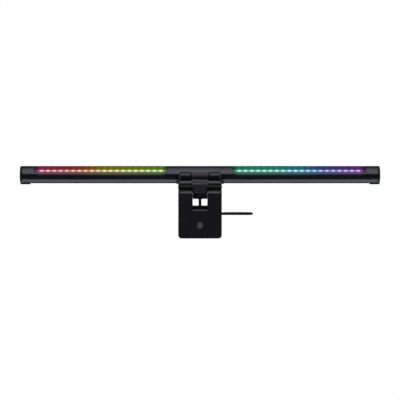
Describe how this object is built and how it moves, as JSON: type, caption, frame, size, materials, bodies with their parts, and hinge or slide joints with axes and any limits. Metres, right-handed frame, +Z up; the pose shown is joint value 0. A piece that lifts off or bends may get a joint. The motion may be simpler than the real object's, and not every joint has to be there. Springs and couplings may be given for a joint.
{
  "type": "monitor light bar",
  "caption": "Slim tube lamp that hooks over a monitor's top edge, with a tilt hinge, a sprung rear leg, a downward task light and coloured rear lights.",
  "frame": {"origin": "centre of the saddle pad's underside, which rests on the monitor's top edge", "axes": "+X along the tube, +Y towards the person at the monitor, +Z up"},
  "size_m": [0.45, 0.0932, 0.0844],
  "materials": {
    "anodised_tube": "dark anodised, satin",
    "bare_aluminium": "mill finish",
    "black_plastic": "fine moulded texture",
    "spine_plastic": "satin moulded",
    "leg_plastic": "fine spark-eroded texture",
    "bracket_paint": "dark grey satin paint",
    "gloss_black": "polished",
    "lit_diffuser": "opal, lit from behind",
    "task_led": "phosphor",
    "tinted_lens": "smoked, clear gloss",
    "rgb_led_warm": "lit",
    "rgb_led_cool": "lit",
    "white_board": "white solder mask",
    "dark_board": "dark solder mask",
    "steel": "bright",
    "black_steel": "black zinc",
    "spring_steel": "drawn wire",
    "zinc": "die cast",
    "badge_metal": "brushed disc",
    "washer_plastic": "natural acetal",
    "black_rubber": "soft, matte",
    "wire_jacket": "flat two-core wire",
    "cord_jacket": "smooth jacket",
    "cord_plastic": "overmoulded",
    "tie_rubber": "hook-and-loop strap"
  },
  "bodies": {
    "light_bar": {"bar_housing": "anodised_tube", "end_cap_left": "black_plastic", "end_cap_right": "black_plastic", "task_diffuser": "lit_diffuser", "led_carrier": "bare_aluminium", "task_led_board": "white_board", "task_leds": "task_led", "rgb_lens_left": "tinted_lens", "rgb_lens_right": "tinted_lens", "rgb_board_left": "dark_board", "rgb_board_right": "dark_board", "rgb_leds_left": "rgb_led_warm", "rgb_leds_right": "rgb_led_cool", "touch_panel": "gloss_black", "control_board": "dark_board", "hinge_bracket": "bracket_paint", "bracket_screws": "black_steel", "tilt_pin": "steel", "pin_caps": "black_plastic", "friction_washers": "washer_plastic"},
    "clamp": {"saddle_frame": "black_plastic", "spine_cover": "spine_plastic", "saddle_pad": "black_rubber", "lip_pad": "black_rubber", "tilt_bush": "washer_plastic", "leg_axle": "steel", "spine_screws": "black_steel", "spine_harness": "wire_jacket"},
    "rear_leg": {"leg_shell": "black_plastic", "leg_cover": "leg_plastic", "leg_pad": "black_rubber", "counterweight": "zinc", "badge_disc": "badge_metal", "leg_screws": "black_steel", "leg_spring_left": "spring_steel", "leg_spring_right": "spring_steel", "axle_bushes": "washer_plastic", "usb_board": "dark_board", "usb_c_socket": "steel", "usb_c_plug_shell": "steel", "usb_c_plug": "cord_plastic", "cord_lead": "cord_jacket", "cord_coil": "cord_jacket", "cable_tie": "tie_rubber", "usb_a_plug": "cord_plastic", "usb_a_shell": "steel"}
  },
  "joints": [
    {"name": "bar_tilt", "type": "hinge", "parent": "clamp", "child": "light_bar", "pos_m": [0, 0.0115, 0.0138], "axis": [1, 0, 0], "range_deg": [-15, 25]},
    {"name": "leg_swing", "type": "hinge", "parent": "clamp", "child": "rear_leg", "pos_m": [0, -0.0245, -0.0077], "axis": [1, 0, 0], "range_deg": [-40, 0], "stiffness_Nm_per_rad": 0.12, "springref_deg": 45.84, "deforming": ["leg_spring_left", "leg_spring_right"]}
  ]
}
